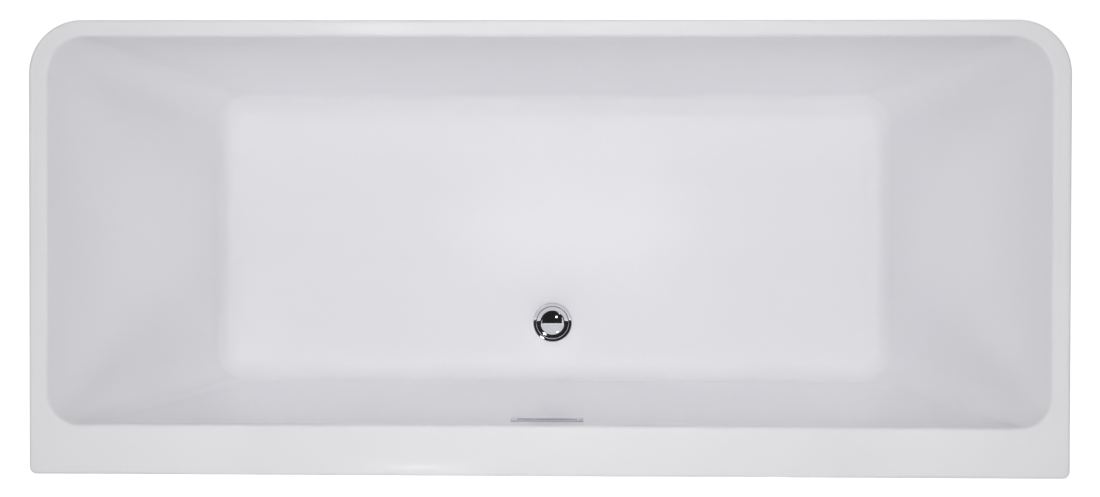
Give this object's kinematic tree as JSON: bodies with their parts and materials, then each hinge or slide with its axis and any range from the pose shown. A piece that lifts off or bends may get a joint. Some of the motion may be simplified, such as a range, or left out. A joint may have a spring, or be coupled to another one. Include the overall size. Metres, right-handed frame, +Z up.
{
  "type": "freestanding bathtub",
  "caption": "Back-to-wall freestanding bathtub: double-ended white acrylic basin with a wide rear ledge, press-to-open waste, slot overflow, outer skirt and a steel frame on levelling feet.",
  "frame": {"origin": "on the floor, under the middle of the tub's outline in plan", "axes": "+X along the length, to the right for someone standing in the room and facing the tub; +Y towards the wall; +Z up"},
  "size_m": [1.7, 0.745, 0.58],
  "materials": {
    "acrylic_basin": "high gloss moulded acrylic, white",
    "acrylic_skirt": "high gloss moulded acrylic, white",
    "sealant": "satin white",
    "fibreglass": "rough sprayed resin and chopped glass",
    "base_board": "raw chipboard, resin sealed",
    "batten": "sawn softwood",
    "frame_steel": "galvanised",
    "fastener_steel": "bright zinc",
    "foot_plastic": "black, fine texture",
    "chrome": "polished",
    "brass": "machined",
    "spring_steel": "drawn wire",
    "seal_rubber": "matt black",
    "waste_plastic": "satin white",
    "hose_plastic": "satin grey"
  },
  "bodies": {
    "root": {"base_board": "base_board", "board_screws": "fastener_steel", "bracket_bolts": "fastener_steel", "cross_member_left": "frame_steel", "cross_member_left_end": "frame_steel", "cross_member_right": "frame_steel", "cross_member_right_end": "frame_steel", "fibreglass_backing": "fibreglass", "foot_lock_nuts": "fastener_steel", "foot_weld_nuts": "fastener_steel", "frame_rail_front": "frame_steel", "frame_rail_rear": "frame_steel", "hose_clip_lower": "fastener_steel", "hose_clip_upper": "fastener_steel", "overflow_elbow": "waste_plastic", "overflow_gasket": "seal_rubber", "overflow_hose": "hose_plastic", "overflow_screws": "fastener_steel", "overflow_trim": "chrome", "plug_cartridge": "brass", "plug_spring": "spring_steel", "rear_arm_left": "frame_steel", "rear_arm_right": "frame_steel", "rear_post_left": "frame_steel", "rear_post_right": "frame_steel", "rim_batten_left": "batten", "rim_batten_right": "batten", "seam_sealant": "sealant", "shell_floor": "acrylic_basin", "shell_front_wall": "acrylic_basin", "shell_left_end": "acrylic_basin", "shell_rear_wall": "acrylic_basin", "shell_right_end": "acrylic_basin", "skirt_bracket_front_left": "frame_steel", "skirt_bracket_front_right": "frame_steel", "skirt_bracket_left_end": "frame_steel", "skirt_bracket_right_end": "frame_steel", "skirt_front": "acrylic_skirt", "skirt_left_end": "acrylic_skirt", "skirt_rear": "acrylic_skirt", "skirt_right_end": "acrylic_skirt", "tube_end_caps": "foot_plastic", "waste_body": "waste_plastic", "waste_body_seal": "seal_rubber", "waste_flange": "chrome", "waste_flange_seal": "seal_rubber"},
    "plug": {"plug_cap": "chrome", "plug_seal": "seal_rubber", "plug_stem": "brass"},
    "foot_front_left": {"foot_stud_front_left": "fastener_steel", "foot_pad_front_left": "foot_plastic"},
    "foot_front_middle": {"foot_stud_front_middle": "fastener_steel", "foot_pad_front_middle": "foot_plastic"},
    "foot_front_right": {"foot_stud_front_right": "fastener_steel", "foot_pad_front_right": "foot_plastic"},
    "foot_rear_left": {"foot_stud_rear_left": "fastener_steel", "foot_pad_rear_left": "foot_plastic"},
    "foot_rear_right": {"foot_stud_rear_right": "fastener_steel", "foot_pad_rear_right": "foot_plastic"}
  },
  "joints": [
    {"name": "plug_slide", "type": "slide", "parent": "root", "child": "plug", "axis": [0, 0, 1], "range_m": [0, 0.009], "deforming": ["plug_spring"]},
    {"name": "foot_front_left_height", "type": "slide", "parent": "root", "child": "foot_front_left", "axis": [0, 0, -1], "range_m": [-0.003, 0.015]},
    {"name": "foot_front_middle_height", "type": "slide", "parent": "root", "child": "foot_front_middle", "axis": [0, 0, -1], "range_m": [-0.003, 0.015]},
    {"name": "foot_front_right_height", "type": "slide", "parent": "root", "child": "foot_front_right", "axis": [0, 0, -1], "range_m": [-0.003, 0.015]},
    {"name": "foot_rear_left_height", "type": "slide", "parent": "root", "child": "foot_rear_left", "axis": [0, 0, -1], "range_m": [-0.003, 0.015]},
    {"name": "foot_rear_right_height", "type": "slide", "parent": "root", "child": "foot_rear_right", "axis": [0, 0, -1], "range_m": [-0.003, 0.015]}
  ]
}
